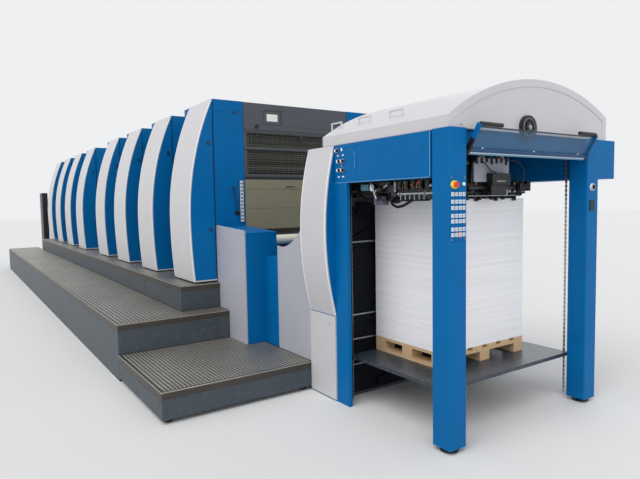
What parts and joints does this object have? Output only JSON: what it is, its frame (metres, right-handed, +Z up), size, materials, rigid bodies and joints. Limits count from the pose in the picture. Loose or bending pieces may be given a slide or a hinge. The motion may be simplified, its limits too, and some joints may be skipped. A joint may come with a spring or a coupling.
{
  "type": "offset printing press",
  "caption": "Sheetfed offset printing press: a line of tall printing units with curved side covers, walkways, a feeder, and a delivery with a hooded front and a pile of sheets on a lift plate.",
  "frame": {"origin": "middle of the press's outline on the floor", "axes": "+X along the line from the feeder to the delivery, -Y the operator side, +Z up"},
  "size_m": [14.5914, 3.925, 2.47],
  "materials": {
    "blue_paint": "satin paint",
    "white_paint": "satin paint",
    "pale_grey_paint": "satin paint",
    "dark_grey_paint": "satin paint",
    "black_paint": "satin paint",
    "olive_paint": "satin paint",
    "tread_steel": "pressed tread plate",
    "bright_steel": "bright",
    "black_plastic": "matte",
    "black_rubber": "matte",
    "clear_pane": "clear",
    "pine": "sawn",
    "paper": "cut paper edges"
  },
  "bodies": {
    "press": {"delivery_posts": "blue_paint", "machine_feet": "black_paint", "side_frames": "blue_paint", "top_beams": "blue_paint", "control_knobs": "black_plastic", "hood_shell": "white_paint", "hood_front": "white_paint", "hood_handles": "white_paint", "delivery_covers": "white_paint", "delivery_body": "dark_grey_paint", "rear_guard": "black_paint", "post_keys": "pale_grey_paint", "hoist_chains": "bright_steel", "hoist_shafts": "bright_steel", "sheet_brake": "black_paint", "stop_unit": "pale_grey_paint", "drag_hose": "black_rubber", "neck_panels": "pale_grey_paint", "neck_housing": "blue_paint", "walkway_frames": "dark_grey_paint", "platform": "dark_grey_paint", "treads": "tread_steel", "nosings": "bright_steel", "base_frame": "dark_grey_paint", "side_housings": "blue_paint", "press_towers": "dark_grey_paint", "top_guards": "dark_grey_paint", "end_mesh": "dark_grey_paint", "end_rollers": "bright_steel", "lower_guards": "olive_paint", "unit_controls": "black_paint", "drive_covers": "white_paint", "feeder_frame": "blue_paint", "feed_board": "bright_steel", "feeder_head": "dark_grey_paint", "feeder_lift": "dark_grey_paint", "feeder_pile": "paper", "feeder_pallet": "pine"},
    "pile": {"lift_plate": "dark_grey_paint", "pallet": "pine", "paper_pile": "paper"},
    "visor": {"visor_frame": "blue_paint", "visor_pane": "clear_pane", "visor_grips": "black_plastic"},
    "cover_1": {"cover_skin_1": "white_paint", "cover_cheek_1": "blue_paint"},
    "cover_2": {"cover_skin_2": "white_paint", "cover_cheek_2": "blue_paint"},
    "cover_3": {"cover_skin_3": "white_paint", "cover_cheek_3": "blue_paint"},
    "cover_4": {"cover_skin_4": "white_paint", "cover_cheek_4": "blue_paint"},
    "cover_5": {"cover_skin_5": "white_paint", "cover_cheek_5": "blue_paint"},
    "cover_6": {"cover_skin_6": "white_paint", "cover_cheek_6": "blue_paint"},
    "cover_7": {"cover_skin_7": "white_paint", "cover_cheek_7": "blue_paint"},
    "cover_8": {"cover_skin_8": "white_paint", "cover_cheek_8": "blue_paint"}
  },
  "joints": [
    {"name": "pile_lift", "type": "slide", "parent": "press", "child": "pile", "axis": [0, 0, 1], "range_m": [-0.3, 0]},
    {"name": "visor_hinge", "type": "hinge", "parent": "press", "child": "visor", "pos_m": [7.19428, 0, 1.75], "axis": [0, 1, 0], "range_deg": [0, 149]},
    {"name": "cover_1_hinge", "type": "hinge", "parent": "press", "child": "cover_1", "pos_m": [3.85028, -0.9615, 1.6], "axis": [0, 0, -1], "range_deg": [0, 90]},
    {"name": "cover_2_hinge", "type": "hinge", "parent": "press", "child": "cover_2", "pos_m": [2.70028, -0.9615, 1.6], "axis": [0, 0, -1], "range_deg": [0, 90]},
    {"name": "cover_3_hinge", "type": "hinge", "parent": "press", "child": "cover_3", "pos_m": [1.55028, -0.9615, 1.6], "axis": [0, 0, -1], "range_deg": [0, 90]},
    {"name": "cover_4_hinge", "type": "hinge", "parent": "press", "child": "cover_4", "pos_m": [0.40028, -0.9615, 1.6], "axis": [0, 0, -1], "range_deg": [0, 90]},
    {"name": "cover_5_hinge", "type": "hinge", "parent": "press", "child": "cover_5", "pos_m": [-1.20972, -0.9615, 1.6], "axis": [0, 0, -1], "range_deg": [0, 90]},
    {"name": "cover_6_hinge", "type": "hinge", "parent": "press", "child": "cover_6", "pos_m": [-2.35972, -0.9615, 1.6], "axis": [0, 0, -1], "range_deg": [0, 90]},
    {"name": "cover_7_hinge", "type": "hinge", "parent": "press", "child": "cover_7", "pos_m": [-3.50972, -0.9615, 1.6], "axis": [0, 0, -1], "range_deg": [0, 90]},
    {"name": "cover_8_hinge", "type": "hinge", "parent": "press", "child": "cover_8", "pos_m": [-4.65972, -0.9615, 1.6], "axis": [0, 0, -1], "range_deg": [0, 90]}
  ]
}
